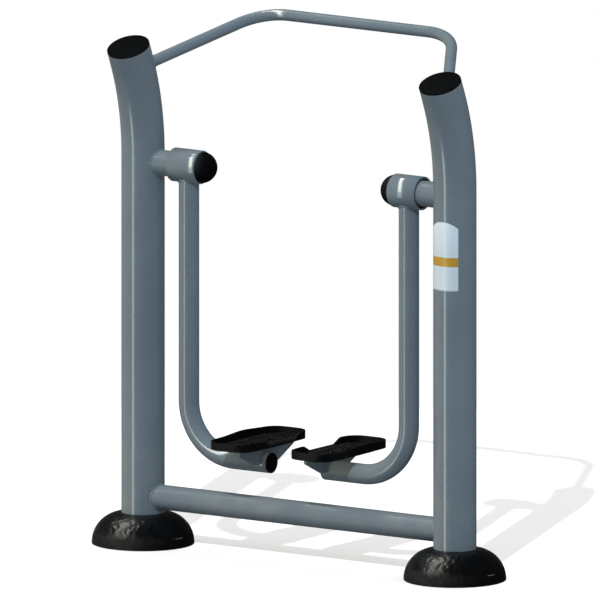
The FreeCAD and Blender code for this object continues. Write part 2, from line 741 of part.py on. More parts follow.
def stop_block(doc):
    """The block on the spacer whose ends stop the arm's swing."""
    bore = "collar_diameter / 2 + fit_gap"
    collar = ring(doc, "stop_ring", STOP_START, STOP_END, bore, STOP_RING)
    outline = [
        (STOP_START, f"-{STOP_RING} + 1"),
        (STOP_START, "-stop_radius"),
        (STOP_END, "-stop_radius"),
        (STOP_END, f"-{STOP_RING} + 1"),
    ]
    jaw = turned(doc, "stop_jaw", outline, angle=f"360 - 2 * ({BUFFER_FACE} + buffer_angle)")
    block = doc.addObject("Part::Fuse", "left_stop_block")
    block.Base = at_pivot(collar)
    block.Tool = at_pivot(jaw)
    return block


def stop_buffers(doc):
    """The rubber pads on the ends of the stop block."""
    pads = []
    for label, sign in (("front", "-1"), ("back", "1")):
        pad = ring(
            doc,
            f"buffer_{label}",
            STOP_START,
            STOP_END,
            f"{STOP_RING} + running_gap",
            "stop_radius - running_gap",
            angle="buffer_angle",
        )
        place(
            pad,
            x=f"-{HALF_SPACING}",
            z="pivot_height",
            axis=(1, 0, 0),
            angle=f"{sign} * ({BUFFER_FACE} + buffer_angle / 2)",
        )
        pads.append(pad)
    return group(doc, "left_stop_buffers", pads)


def stop_dog(doc):
    """The lug in the sleeve that meets the buffers."""
    bore = f"{STOP_RING} + stop_side_gap"
    outside = f"{SLEEVE_BORE} - fit_gap"
    return at_pivot(
        ring(doc, "left_stop_dog", STOP_START, STOP_END, bore, outside, angle="2 * dog_half_angle")
    )


def hub_sleeve(doc):
    """The tube that turns round the axle and carries the arm."""
    corners = [
        ("sleeve_start", SLEEVE_BORE),
        ("sleeve_start", "sleeve_diameter / 2"),
        (SLEEVE_END, "sleeve_diameter / 2", "sleeve_round"),
        (SLEEVE_END, SLEEVE_BORE),
    ]
    return at_pivot(turned(doc, "left_hub_sleeve", corners))


def hub_cap(doc):
    """The plastic dome on the inner end of the sleeve."""
    plug = f"{SLEEVE_BORE} - fit_gap"
    corners = [
        (f"{SLEEVE_END} - hub_cap_plug", f"{plug} - hub_cap_wall"),
        (f"{SLEEVE_END} - hub_cap_plug", plug),
        (SLEEVE_END, plug),
        (SLEEVE_END, "hub_cap_diameter / 2"),
        (f"{SLEEVE_END} + hub_cap_rim", "hub_cap_diameter / 2", "dome"),
        (f"{SLEEVE_END} + hub_cap_rim + hub_cap_rise", "0"),
        (f"{SLEEVE_END} + hub_cap_rim + hub_cap_rise - hub_cap_wall", "0", "dome"),
        (f"{SLEEVE_END} + hub_cap_rim", f"{plug} - hub_cap_wall"),
    ]
    return at_pivot(turned(doc, "left_hub_cap", corners))


def arm_tube(doc, sleeve_tool):
    """The arm: one bent tube from the sleeve down to the foot tray."""
    corners = [
        ("arm_offset", "0"),
        ("arm_offset", "arm_leg_height - pivot_height", "arm_bend_radius"),
        ("arm_end", "arm_leg_height - pivot_height"),
    ]
    outside = "arm_diameter / 2"
    bore = "arm_diameter / 2 - arm_wall"
    tube = at_pivot(piped(doc, "arm_pipe", "XZ_Plane", corners, outside, bore, centre="arm_offset"))
    return less(doc, "left_arm_tube", tube, sleeve_tool)


def arm_end_cap(doc):
    """The plastic plug in the arm's lower end."""
    plug = "arm_diameter / 2 - arm_wall - fit_gap"
    corners = [
        ("arm_end - end_cap_plug", "0"),
        ("arm_end - end_cap_plug", plug),
        ("arm_end", plug),
        ("arm_end", "arm_diameter / 2"),
        ("arm_end + end_cap_thickness", "arm_diameter / 2", "end_cap_round"),
        ("arm_end + end_cap_thickness", "0"),
    ]
    return at_post(turned(doc, "left_arm_end_cap", corners), z="arm_leg_height")


def at_tray(piece, z="tray_height"):
    """Put a piece of the left foot at the middle of the left bracket."""
    return place(piece, x=f"tray_offset - {HALF_SPACING}", z=z)


def pedal_bracket(doc, arm_tool):
    """An angle under the foot tray, its upright side cut to sit on the arm."""
    rise = "(tray_height - arm_leg_height)"
    side = [
        ("-bracket_length / 2", rise),
        ("bracket_length / 2", rise),
        ("bracket_length / 2", f"{rise} - bracket_lip"),
        ("bracket_foot / 2", "0"),
        ("-bracket_foot / 2", "0"),
        ("-bracket_length / 2", f"{rise} - bracket_lip"),
    ]
    body = padded(doc, "bracket_angle", "YZ_Plane", side, "bracket_width", both_ways=True)
    web_face = "(bracket_width / 2 - bracket_web)"
    past_edge = "(bracket_width / 2 + 1)"
    space = [
        (f"-{past_edge}", "-1"),
        (web_face, "-1"),
        (web_face, f"{rise} - bracket_sheet"),
        (f"-{past_edge}", f"{rise} - bracket_sheet"),
    ]
    cut = pocket(doc, body, "bracket_space", "XZ_Plane", space, "bracket_length + 2")
    cut.Midplane = True
    top_bolt_holes(doc, body)
    at_tray(body, z="arm_leg_height")
    return less(doc, "left_pedal_bracket", body, arm_tool)


def bolt_places():
    """The tray bolts along the bracket, from its middle."""
    return ("-bolt_far", "-bolt_near", "bolt_near", "bolt_far")


def top_bolt_holes(doc, body):
    """Drill the bracket's top for the tray bolts."""
    doc.recompute()
    volume = body.Shape.Volume
    sketch = new_sketch(body, "bracket_hole_outline", "XY_Plane")
    for y in bolt_places():
        draw_circle(sketch, "0", y, "bolt_diameter / 2 + bolt_gap")
    drill = body.newObject("PartDesign::Pocket", "bracket_holes")
    drill.Profile = sketch
    drill.Type = "ThroughAll"
    drill.Reversed = True
    doc.recompute()
    if body.Shape.Volume >= volume:
        raise RuntimeError("the bracket's holes are not cut")


def tray_outline(inset):
    """The foot tray's outline, with crowned ends and sides, moved in by an inset."""
    end_x = f"(tray_end_width / 2 - {inset})"
    side_x = f"(tray_width / 2 - {inset})"
    corner_y = f"(tray_length / 2 - {inset})"
    crown_y = f"(tray_length / 2 + tray_crown - {inset})"
    corner = f"tray_corner - {inset}"
    return [
        (f"-{end_x}", f"-{corner_y}", corner),
        ("0", f"-{crown_y}", "tray_end_radius"),
        (end_x, f"-{corner_y}", corner),
        (side_x, "0", "tray_side_radius"),
        (end_x, corner_y, corner),
        ("0", crown_y, "tray_end_radius"),
        (f"-{end_x}", corner_y, corner),
        (f"-{side_x}", "0", "tray_side_radius"),
    ]


def pedal(doc):
    """The foot tray: a floor with a rim that dips on the side by the other foot."""
    body = padded(doc, "left_pedal", "XY_Plane", tray_outline("0"), "rim_crest")
    pocket(
        doc,
        body,
        "tray_hollow",
        "XY_Plane",
        tray_outline("tray_wall"),
        "rim_crest",
        offset="tray_floor",
        reverse=True,
    )
    above = "rim_crest + 1"
    beyond = "tray_length"
    dip_front = "(dip_place + dip_length / 2)"
    dip_back = "(dip_place - dip_length / 2)"
    dip = [
        (f"-{beyond}", "rim_height"),
        (f"{dip_back} - dip_ramp", "rim_height", "dip_round"),
        (dip_back, "dip_height", "dip_round"),
        (dip_front, "dip_height", "dip_round"),
        (f"{dip_front} + dip_ramp", "rim_height", "dip_round"),
        (beyond, "rim_height"),
        (beyond, above),
        (f"-{beyond}", above),
    ]
    pocket(doc, body, "inner_rim_line", "YZ_Plane", dip, "tray_width", reverse=True)
    crest = [
        (f"-{beyond}", "rim_height"),
        ("crest_place - crest_length / 2", "rim_height", "crest_round"),
        ("crest_place", "rim_crest - 0.3", "crest_round"),
        ("crest_place + crest_length / 2", "rim_height", "crest_round"),
        (beyond, "rim_height"),
        (beyond, above),
        (f"-{beyond}", above),
    ]
    pocket(doc, body, "outer_rim_line", "YZ_Plane", crest, "tray_width")
    sketch = new_sketch(body, "tray_hole_outline", "XY_Plane")
    for y in bolt_places():
        draw_circle(sketch, "0", f"{y} + tray_setback", "bolt_diameter / 2 + bolt_gap")
    drill = body.newObject("PartDesign::Pocket", "tray_holes")
    drill.Profile = sketch
    drill.Type = "ThroughAll"
    drill.Reversed = True
    return place(body, x=f"tray_offset - {HALF_SPACING}", y="-tray_setback", z="tray_height")


def pedal_bolts(doc):
    """The bolts that hold the foot tray on its bracket."""
    corners = [
        ("0", "-bolt_length"),
        ("bolt_diameter / 2", "-bolt_length"),
        ("bolt_diameter / 2", "0"),
        ("bolt_head / 2", "0"),
        ("bolt_head / 2", "bolt_head_height / 3", "dome"),
        ("0", "bolt_head_height"),
    ]
    bolts = []
    for index, y in enumerate(bolt_places(), start=1):
        bolt = turned(doc, f"tray_bolt_{index}", corners, axis="V_Axis")
        bolts.append(
            place(bolt, x=f"tray_offset - {HALF_SPACING}", y=y, z="tray_height + tray_floor")
        )
    return group(doc, "left_pedal_bolts", bolts)


def pedal_nuts(doc):
    """The nuts under the bracket's top."""
    nuts = []
    for index, y in enumerate(bolt_places(), start=1):
        nut = hex_nut(doc, f"tray_nut_{index}", "tray_nut_flats", "tray_nut_height", "bolt_diameter")
        under = "tray_height - bracket_sheet - tray_nut_height"
        nuts.append(place(nut, x=f"tray_offset - {HALF_SPACING}", y=y, z=under))
    return group(doc, "left_pedal_nuts", nuts)


def notice_plate(doc):
    """A bare sheet plate bent round the back of the right post, with an arched top."""
    inside = f"({POST_RADIUS} + fit_gap)"
    outside = f"({inside} + plate_sheet)"
    shoulder = "(plate_bottom + plate_side_height)"
    top = f"{shoulder} + plate_arch_rise"
    wrap = [(inside, "plate_bottom"), (outside, "plate_bottom"), (outside, top), (inside, top)]
    sheet = turned(doc, "plate_wrap", wrap, axis="V_Axis", angle="2 * plate_half_angle")
    place(sheet, x=HALF_SPACING, axis=(0, 0, 1), angle="-90")
    half = f"{outside} * sin(plate_half_angle)"
    corners = [
        (f"-{half}", "plate_bottom", "plate_corner"),
        (half, "plate_bottom", "plate_corner"),
        (half, shoulder, "dome"),
        ("0", top, "dome"),
        (f"-{half}", shoulder),
    ]
    outline = padded(
        doc, "plate_outline", "XZ_Plane", corners, "post_diameter * 2", both_ways=True, dome_axis=-2
    )
    place(outline, x=HALF_SPACING)
    plate = doc.addObject("Part::Common", "notice_plate")
    plate.Base = sheet
    plate.Tool = outline
    return plate


def left_half(doc, post_tool):
    """Every piece that has a twin on the right."""
    sleeve_tool = place(
        cylinder(doc, "sleeve_saddle", "sleeve_diameter / 2 + weld_gap", "post_spacing / 2"),
        x=f"-{HALF_SPACING}",
        z="pivot_height",
        axis=(0, 1, 0),
        angle="90",
    )
    arm_tool = place(
        cylinder(doc, "arm_saddle", "arm_diameter / 2 + weld_gap", "post_spacing / 2"),
        x=f"-{HALF_SPACING}",
        z="arm_leg_height",
        axis=(0, 1, 0),
        angle="90",
    )
    return [
        post(doc),
        post_cap(doc),
        base_flange(doc),
        base_gussets(doc, post_tool),
        base_cover(doc),
        pivot_stub(doc, post_tool),
        pivot_plate(doc),
        hub_seal(doc),
        axle(doc),
        bearing_inner_rings(doc),
        bearing_balls(doc),
        bearing_outer_rings(doc),
        bearing_spacer(doc),
        bearing_carriers(doc),
        axle_washer(doc),
        axle_nut(doc),
        stop_block(doc),
        stop_buffers(doc),
        stop_dog(doc),
        hub_sleeve(doc),
        hub_cap(doc),
        arm_tube(doc, sleeve_tool),
        arm_end_cap(doc),
        pedal_bracket(doc, arm_tool),
        pedal(doc),
        pedal_bolts(doc),
        pedal_nuts(doc),
    ]


def write(doc, nodes):
    """Check every object and every node, then write one STEP file for each node."""
    doc.recompute()
    failed = [item.Name for item in doc.Objects if {"Invalid", "Error"} & set(item.State)]
    if failed:
        raise RuntimeError("failed objects: " + ", ".join(failed))
    for node in nodes:
        if node.Shape.isNull() or not node.Shape.isValid() or not node.Shape.Solids:
            raise RuntimeError(node.Label + " has no valid solid")
    os.makedirs("parts", exist_ok=True)
    for node in nodes:
        node.Shape.exportStep(f"parts/{node.Label}.step")


def main():
    doc = FreeCAD.newDocument("air_walker")
    size_sheet(doc)
    post_tool = post_bar(doc, "post_saddle", f"{POST_RADIUS} + weld_gap")
    both_posts = group(doc, "post_saddles", [post_tool, mirrored(doc, post_tool, "post_saddle_right")])
    lefts = left_half(doc, post_tool)
    nodes = [crossbar(doc, both_posts), handlebar(doc, both_posts), notice_plate(doc)]
    for piece in lefts:
        nodes.append(piece)
        nodes.append(mirrored(doc, piece, piece.Name.replace("left_", "right_")))
    for node in nodes:
        node.Label = node.Name
    write(doc, nodes)


main()
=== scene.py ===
import math
import random

import bmesh
import bpy
from bpy.props import FloatProperty, FloatVectorProperty, IntProperty, PointerProperty
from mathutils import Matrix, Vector
from mathutils.bvhtree import BVHTree


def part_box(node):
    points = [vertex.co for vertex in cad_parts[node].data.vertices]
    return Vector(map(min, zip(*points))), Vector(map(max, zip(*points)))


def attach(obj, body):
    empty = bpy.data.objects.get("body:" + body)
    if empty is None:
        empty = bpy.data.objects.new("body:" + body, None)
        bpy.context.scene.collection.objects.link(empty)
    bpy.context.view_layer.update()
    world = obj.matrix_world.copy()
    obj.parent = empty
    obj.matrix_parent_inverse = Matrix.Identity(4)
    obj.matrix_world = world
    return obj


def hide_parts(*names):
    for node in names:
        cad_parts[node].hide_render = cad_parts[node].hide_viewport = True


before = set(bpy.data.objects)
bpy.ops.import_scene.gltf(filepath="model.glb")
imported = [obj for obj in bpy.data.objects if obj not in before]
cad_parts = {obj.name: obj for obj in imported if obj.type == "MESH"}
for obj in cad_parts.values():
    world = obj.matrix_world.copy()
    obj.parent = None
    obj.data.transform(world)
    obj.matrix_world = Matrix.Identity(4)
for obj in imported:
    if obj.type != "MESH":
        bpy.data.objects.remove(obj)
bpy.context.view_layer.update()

bl_info = {
    "name": "Outdoor air walker",
    "version": (1, 0, 0),
    "blender": (4, 5, 0),
    "location": "3D View > Sidebar > Walker",
    "description": "Dresses the packed air walker with its finishes, welds, foot trays and studio",
    "category": "Object",
}

MM = 0.001
SIDES = {"left": -1, "right": 1}

PAINTED_NODES = ("post", "pivot_stub", "pedal_bracket", "pivot_plate")
STEEL_NODES = ("axle", "bearing_spacer", "bearing_carriers", "stop_block", "stop_dog")
POLISHED_NODES = ("bearing_inner_rings", "bearing_outer_rings", "bearing_balls")
ZINC_NODES = ("axle_washer", "axle_nut", "pedal_nuts")
GALVANISED_NODES = ("base_flange", "base_gussets")
RUBBER_NODES = ("hub_seal", "stop_buffers")

# The crown of a hub sleeve: how far out its ridge lies, how much the right one is further
# out than the left, how steep the ridge is, how blunt, and the radius of the crown.
CREST_PLACE = 0.3688
CREST_SHIFT = 0.016
CREST_SLOPE = 0.03
CREST_BLUNT = 1.5 * MM
CREST_RADIUS = 0.15

# The lower end of an arm, which is drawn in over its cap. All of it lies below ROLL_TOP.
ROLL_LENGTH = 0.022
ROLL_RADIUS = 0.06
ROLL_TOP = 0.4

# The base covers are dusty at the foot and clean from the second height on.
DUST_HEIGHTS = (0.026, 0.046)
LIP_HEIGHT = 29 * MM
LIP_RADIUS = 1.4 * MM
LIP_THIN_END = 0.2
LIP_TURNS = (-16, -4)
LIP_TAPER = 4

# Where the handle bar's lower legs meet the posts, on the right, and which way they run.
HANDLE_RADIUS = 16.75 * MM
HANDLE_ROOT = (0.55, -0.0468, 1.40827)
HANDLE_LEG = (0.216, -0.35505, -0.13986)
SEAM_STEPS = 140
BRACKET_WEB = 10 * MM
BRACKET_WELD_TURN = 86

# The foot trays: their rounded edges, the ends where every edge is rounded, and the treads,
# which keep clear of the bolts.
TRAY_FLOOR = 5 * MM
TRAY_ROUND = 2.2 * MM
TRAY_SHARP = math.radians(30)
TRAY_MIDDLE = 6 * MM
TRAY_END = 140 * MM
TREAD_SPAN = (-138 * MM, 134 * MM)
TREAD_SIDES = 20
BOLT_ROWS = (-120 * MM, -45 * MM, 45 * MM, 120 * MM)
BOLT_CLEAR = (24 * MM, 15 * MM)

# The notice plate's band, as shares of its height, and its border below and above.
BAND_SHARES = (0.356, 0.488)
BORDERS = (3.5 * MM, 1.5 * MM)

FLOOR_RADIUS = 2.6
FLOOR_DROP = 0.5 * MM
FLOOR_SEEN = (0.637, 0.702, 0.8, 1)
FLOOR_UNSEEN = (0.45, 0.45, 0.45, 1)
KEY_WAY = (0.249, -0.688, 0.682)
SIDE_WAY = (-0.72, -0.4, 0.565)
SIDE_COLOUR = (1.0, 0.77, 0.50)

# The even light on the surfaces: stronger from behind and above, and from the ground.
EVEN_STRENGTH = 0.53
EVEN_BEHIND = 0.55
EVEN_ABOVE = 0.4
GROUND = (-0.3, 0.0)
GROUND_STRENGTH = 0.8

# What the reflections show, by the parts x, y and z of a direction: a dim room, a wide wall
# from the direction of its edge on, and an arch at one x, turned a little with y.
REFLECTION_TINT = (1, 0.98, 0.88)
ROOM_STRENGTH = 0.02
HORIZON = (-0.1, 0.3)
WALL_EDGE = (-0.9344, 0.3563)
WALL_MIDDLE = (-0.9698, -0.2442)
WALL_FADE = (-0.5, 0.0)
STEEPEST = 0.0001
WALL_FOCUS = 3.0
WALL_FOOT = (-0.45, -0.2)
WALL_DIM_ABOVE = 0.9
WALL_STRENGTH = 0.38
ARCH_X = -0.463
ARCH_TURN = 0.1218
ARCH_TURN_BEHIND = 0.15
ARCH_HALF_WIDTH = 0.082
ARCH_NARROWING = 0.022
ARCH_EDGE = 0.015
ARCH_END = (0.15, 0.29)
ARCH_FEET = (-0.6, -0.4)
ARCH_STRENGTH = 5.0
ARCH_TOP_STRENGTH = 13.0

CAMERA_AIM = (0.0025, 0.0017, 0.7732)
CAMERA_DISTANCE = 12.0


def colour_setting(name, description, default):
    """A colour in a group of settings."""
    return FloatVectorProperty(
        name=name, description=description, subtype="COLOR", size=3, min=0, max=1, default=default
    )


def length_setting(name, description, default):
    """A length in a group of settings."""
    return FloatProperty(name=name, description=description, default=default, unit="LENGTH")


class WalkerFinish(bpy.types.PropertyGroup):
    """Colours of the finishes."""

    paint: colour_setting("Paint", "Colour of the powder coat", (0.102, 0.141, 0.178))
    plastic: colour_setting("Plastic", "Colour of the covers and caps", (0.0012, 0.0017, 0.0024))
    # The lips are far paler than the covers' black plastic: a painted highlight along the foot of each
    # cover.
    lip: colour_setting("Painted lip highlight", "Colour of the lips on the covers", (0.07, 0.072, 0.072))
    tread: colour_setting("Tread", "Colour of the foot trays", (0.0015, 0.0020, 0.0028))
    plate: colour_setting("Notice plate", "Colour of the notice plate's field", (0.39, 0.50, 0.595))
    band: colour_setting("Band", "Colour of the band across the notice plate", (0.31, 0.20, 0.025))


class WalkerSizes(bpy.types.PropertyGroup):
    """Sizes of the pieces that are made here."""

    weld_radius: length_setting("Weld radius", "Radius of a weld bead", 0.0032)
    weld_pitch: length_setting("Weld pitch", "Distance between the ripples of a weld bead", 0.0045)
    tread_rise: length_setting("Tread rise", "Height of a tread bar above the tray's floor", 0.0024)
    tread_length: length_setting("Tread length", "Length of a tread bar, across the tray", 0.024)
    tread_width: length_setting("Tread width", "Width of a tread bar", 0.0075)
    tread_pitch: length_setting("Tread pitch", "Distance between the columns of tread bars", 0.031)
    tread_row: length_setting("Tread row", "Distance between the rows of tread bars", 0.0195)
    tread_columns: IntProperty(
        name="Tread columns", description="Tread bars across a foot tray", default=4, min=1
    )


class WalkerStudio(bpy.types.PropertyGroup):
    """The camera and the light."""

    azimuth: FloatProperty(
        name="Azimuth",
        description="How far the camera stands round from the back of the user",
        default=math.radians(34.13),
        subtype="ANGLE",
    )
    elevation: FloatProperty(
        name="Elevation",
        description="How far the camera looks down",
        default=math.radians(10),
        subtype="ANGLE",
    )
    picture_width: length_setting("Picture width", "Width of the view at the object", 1.7523)
    lamp_power: FloatProperty(
        name="Lamp power",
        description="Strength of the lamp that casts the shadow, in watts per square metre",
        default=2.4,
    )
    side_power: FloatProperty(
        name="Side lamp power",
        description="Strength of the warm lamp to the left, in watts per square metre",
        default=3.05,
    )


class Field:
    """A socket of a material's node tree. Arithmetic on it adds Math nodes to the tree."""

    def __init__(self, tree, socket):
        self.tree = tree
        self.socket = socket

    def calculated(self, operation, *values):
        return make_node(self.tree, "ShaderNodeMath", {"operation": operation}, dict(enumerate(values)))

    def __pow__(self, other):
        return self.calculated("POWER", self, other)

    def __add__(self, other):
        return self.calculated("ADD", self, other)

    def __radd__(self, other):
        return self.calculated("ADD", other, self)

    def __sub__(self, other):
        return self.calculated("SUBTRACT", self, other)

    def __rsub__(self, other):
        return self.calculated("SUBTRACT", other, self)

    def __mul__(self, other):
        return self.calculated("MULTIPLY", self, other)

    def __truediv__(self, other):
        return self.calculated("DIVIDE", self, other)

    def __gt__(self, other):
        return self.calculated("GREATER_THAN", self, other)

    def __lt__(self, other):
        return self.calculated("LESS_THAN", self, other)

    def __abs__(self):
        return self.calculated("ABSOLUTE", self)

    def smooth_step(self, low, high):
        """0 below low, 1 above high and smooth between them."""
        return make_node(
            self.tree,
            "ShaderNodeMapRange",
            {"interpolation_type": "SMOOTHSTEP"},
            {"Value": self, "From Min": low, "From Max": high},
        )


def make_node(tree, kind, settings=None, sockets=None, output=0):
    """Add a node: its settings first, then the values or links of its sockets. Gives one output."""
    node = tree.nodes.new(kind)
    for name, value in (settings or {}).items():
        setattr(node, name, value)
    for key, value in (sockets or {}).items():
        socket = node.inputs[key]
        if isinstance(value, Field):
            tree.links.new(value.socket, socket)
        else:
            socket.default_value = value
    return Field(tree, node.outputs[output])


def blend(tree, factor, first, second):
    """A colour between two colours."""
    node = tree.nodes.new("ShaderNodeMix")
    node.data_type = "RGBA"
    colours = [socket for socket in node.inputs if socket.type == "RGBA"]
    factors = [socket for socket in node.inputs if socket.name == "Factor" and socket.type == "VALUE"]
    for socket, value in ((factors[0], factor), (colours[0], first), (colours[1], second)):
        if isinstance(value, Field):
            tree.links.new(value.socket, socket)
        elif socket.type == "RGBA":
            socket.default_value = (*value, 1.0)
        else:
            socket.default_value = value
    return Field(tree, [socket for socket in node.outputs if socket.type == "RGBA"][0])


def light_path(tree, name):
    """1 for one kind of ray and 0 for the others."""
    return make_node(tree, "ShaderNodeLightPath", output=name)


class Finish:
    """A material with one Principled shader, built up by expressions."""

    def __init__(self, name, **values):
        self.material = bpy.data.materials.new(name)
        self.material.use_nodes = True
        self.tree = self.material.node_tree
        self.shader = self.tree.nodes["Principled BSDF"]
        for key, value in values.items():
            self.shader.inputs[key.replace("_", " ")].default_value = value

    def node(self, kind, settings=None, sockets=None, output=0):
        return make_node(self.tree, kind, settings, sockets, output)

    def place(self):
        """Where a point is on the object at rest."""
        return self.node("ShaderNodeTexCoord", output="Object")

    def part(self, vector, axis):
        """One coordinate of a vector."""
        return self.node("ShaderNodeSeparateXYZ", None, {0: vector}, output=axis)

    def stretched(self, vector, scale):
        return self.node("ShaderNodeVectorMath", {"operation": "MULTIPLY"}, {0: vector, 1: scale})

    def noise(self, vector, scale, detail=3.0, roughness=0.5):
        sockets = {"Vector": vector, "Scale": scale, "Detail": detail, "Roughness": roughness}
        return self.node("ShaderNodeTexNoise", None, sockets)

    def cells(self, vector, scale, output="Distance"):
        return self.node(
            "ShaderNodeTexVoronoi", {"feature": "F1"}, {"Vector": vector, "Scale": scale}, output
        )

    def blend(self, factor, first, second):
        return blend(self.tree, factor, first, second)

    def wear(self, name, field):
        """Feed one of the shader's sockets from a field."""
        self.tree.links.new(field.socket, self.shader.inputs[name])

    def bump(self, height, strength, distance, form=None):
        """Raise the surface by a height field, over a larger form in metres if there is one."""
        sockets = {"Height": height, "Strength": strength, "Distance": distance}
        if form:
            sockets["Normal"] = self.node(
                "ShaderNodeBump", None, {"Height": form, "Strength": 1.0, "Distance": 1.0}
            )
        self.wear("Normal", self.node("ShaderNodeBump", None, sockets))


def shade(colour, factor):
    """A colour made lighter or darker."""
    return tuple(min(1.0, channel * factor) for channel in colour)


def powder_coat(name, colour, form=None):
    """Gloss paint with fine orange peel, faint mottling and dust that has settled low down."""
    finish = Finish(name, IOR=1.5)
    place = finish.place()
    large = form(finish.part(place, "X"), finish.part(place, "Z")) if form else None
    mottle = finish.noise(place, 9.0, 4.0, 0.6)
    speck = finish.noise(place, 420.0, 2.0)
    streak = finish.noise(finish.stretched(place, (60.0, 60.0, 2.5)), 1.0, 3.0)
    tint = finish.blend(mottle.smooth_step(0.3, 0.7), shade(colour, 0.96), shade(colour, 1.04))
    tint = finish.blend(streak.smooth_step(0.55, 0.8) * 0.25, tint, shade(colour, 1.12))
    height = finish.part(place, "Z")
    dust = (1.0 - height.smooth_step(0.02, 0.5)) * mottle.smooth_step(0.35, 0.75) * 0.18
    finish.wear("Base Color", finish.blend(dust, tint, (0.2, 0.19, 0.165)))
    finish.wear("Roughness", 0.1 + mottle * 0.05 + dust * 0.4)
    peel = finish.noise(place, 260.0, 2.0) * 0.7 + speck * 0.3
    finish.bump(peel, 0.12, 0.0006, large)
    return finish.material


def sleeve_crown(x, z):
    """The slight crown of a hub sleeve, with its ridge above the arm's inner side."""
    reach = abs(x) - x * CREST_SHIFT - CREST_PLACE
    ridge = (reach * reach + CREST_BLUNT**2) ** 0.5 * CREST_SLOPE
    return reach * reach * (-0.5 / CREST_RADIUS) - ridge


def rolled_end(x, z):
    """The lower end of an arm, drawn in slightly over its cap."""
    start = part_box("right_arm_tube")[0].x + ROLL_LENGTH
    past = start - abs(x)
    reach = past.calculated("MAXIMUM", past, 0.0) * (z < ROLL_TOP)
    return reach * reach * (-0.5 / ROLL_RADIUS)


def moulded_plastic(name, colour, lump_scale, lump_depth, gloss, shine):
    """Moulded plastic with a wavy, slightly lumpy surface and scuffs, dusty near the ground."""
    finish = Finish(name, IOR=1.48, Specular_IOR_Level=shine)
    place = finish.place()
    lumps = finish.noise(place, lump_scale, 2.0, 0.4)
    grain = finish.noise(place, 700.0, 2.0)
    scuff = finish.noise(finish.stretched(place, (30.0, 30.0, 90.0)), 1.0, 4.0, 0.7)
    mark = scuff.smooth_step(0.6, 0.75)
    dust = 1.0 - finish.part(place, "Z").smooth_step(*DUST_HEIGHTS)
    finish.wear("Base Color", finish.blend(mark * 0.35, colour, shade(colour, 3.0)))
    finish.wear("Roughness", gloss + mark * 0.2 + grain * 0.08 + dust * 0.4)
    finish.bump(lumps + grain * 0.02, 0.8, lump_depth)
    return finish.material


def tread_plastic(colour):
    """Hard black plastic with a leathery moulded grain and paler worn patches."""
    finish = Finish("tray_plastic", IOR=1.48, Specular_IOR_Level=0.15)
    place = finish.place()
    grain = finish.cells(place, 900.0)
    soft = finish.noise(place, 40.0, 3.0)
    paler = finish.noise(place, 18.0, 4.0, 0.65).smooth_step(0.5, 0.72)
    finish.wear("Base Color", finish.blend(paler * 0.3, colour, shade(colour, 2.2)))
    finish.wear("Roughness", 0.46 + soft * 0.2 - paler * 0.06)
    finish.bump(grain * 0.6 + soft * 0.4, 0.2, 0.0004)
    return finish.material


def black_rubber():
    """Matt rubber with a fine grain."""
    finish = Finish("matt_rubber", Roughness=0.75, IOR=1.45)
    place = finish.place()
    grain = finish.noise(place, 500.0, 2.0)
    cloud = finish.noise(place, 30.0, 2.0)
    finish.wear("Base Color", finish.blend(cloud, (0.008, 0.008, 0.008), (0.018, 0.018, 0.018)))
    finish.wear("Roughness", 0.7 + grain * 0.15)
    finish.bump(grain, 0.2, 0.0004)
    return finish.material


def turned_steel(name, colour, roughness, ring_scale):
    """Machined steel with fine tool marks round the axle."""
    finish = Finish(name, Metallic=1.0, Roughness=roughness)
    place = finish.place()
    marks = finish.noise(finish.stretched(place, (ring_scale, 8.0, 8.0)), 1.0, 2.0)
    cloud = finish.noise(place, 25.0, 3.0)
    finish.wear("Base Color", finish.blend(cloud, shade(colour, 0.9), shade(colour, 1.08)))
    finish.wear("Roughness", roughness + marks * 0.12)
    finish.bump(marks, 0.15, 0.0003)
    return finish.material


def zinc_plate():
    """Zinc plating with the blue and yellow cast of its passivation."""
    finish = Finish("zinc_plate", Metallic=1.0, Roughness=0.3)
    place = finish.place()
    cloud = finish.noise(place, 90.0, 3.0)
    grain = finish.noise(place, 900.0, 1.0)
    finish.wear("Base Color", finish.blend(cloud, (0.50, 0.52, 0.56), (0.60, 0.58, 0.49)))
    finish.wear("Roughness", 0.24 + cloud * 0.16)
    finish.bump(grain, 0.1, 0.0002)
    return finish.material


def galvanised():
    """Hot-dip zinc with its crystal spangle."""
    finish = Finish("galvanised", Metallic=1.0, Roughness=0.5)
    place = finish.place()
    tone = finish.node("ShaderNodeRGBToBW", None, {0: finish.cells(place, 70.0, "Color")})
    finish.wear("Base Color", finish.blend(tone, (0.34, 0.36, 0.37), (0.52, 0.54, 0.55)))
    finish.wear("Roughness", 0.38 + tone * 0.2)
    finish.bump(tone, 0.12, 0.0003)
    return finish.material


def notice_finish(field, band):
    """A pale printed sheet with one ochre band, a thin dark border and darker cloudy patches, lighter
    towards its top above the band.
    """
    finish = Finish("printed_sheet", Roughness=0.35, IOR=1.5)
    place = finish.place()
    low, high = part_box("notice_plate")
    height = finish.part(place, "Z")
    band_low, band_high = (low.z + share * (high.z - low.z) for share in BAND_SHARES)
    in_band = (height > band_low) * (height < band_high)
    cloud = finish.noise(place, 35.0, 3.0)
    upper = height.smooth_step(band_high, high.z)
    base = finish.blend(upper, shade(field, 0.97), shade(field, 1.12))
    base = finish.blend(cloud.smooth_step(0.5, 0.8) * 0.25, base, shade(field, 0.85))
    rim = 1.0 - (height > low.z + BORDERS[0]) * (height < high.z - BORDERS[1])
    base = finish.blend(rim, base, shade(field, 0.6))
    finish.wear("Base Color", finish.blend(in_band, base, band))
    finish.wear("Roughness", 0.3 + cloud * 0.12)
    finish.bump(finish.noise(place, 300.0, 2.0), 0.08, 0.0003)
    return finish.material


def assign(objects, material):
    """Give objects one material in every slot."""
    for item in objects:
        item.data.materials.clear()
        item.data.materials.append(material)
        for polygon in item.data.polygons:
            polygon.material_index = 0


def cad_nodes(names):
    """The CAD objects of both sides with these names."""
    return [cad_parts[f"{side}_{name}"] for side in SIDES for name in names]


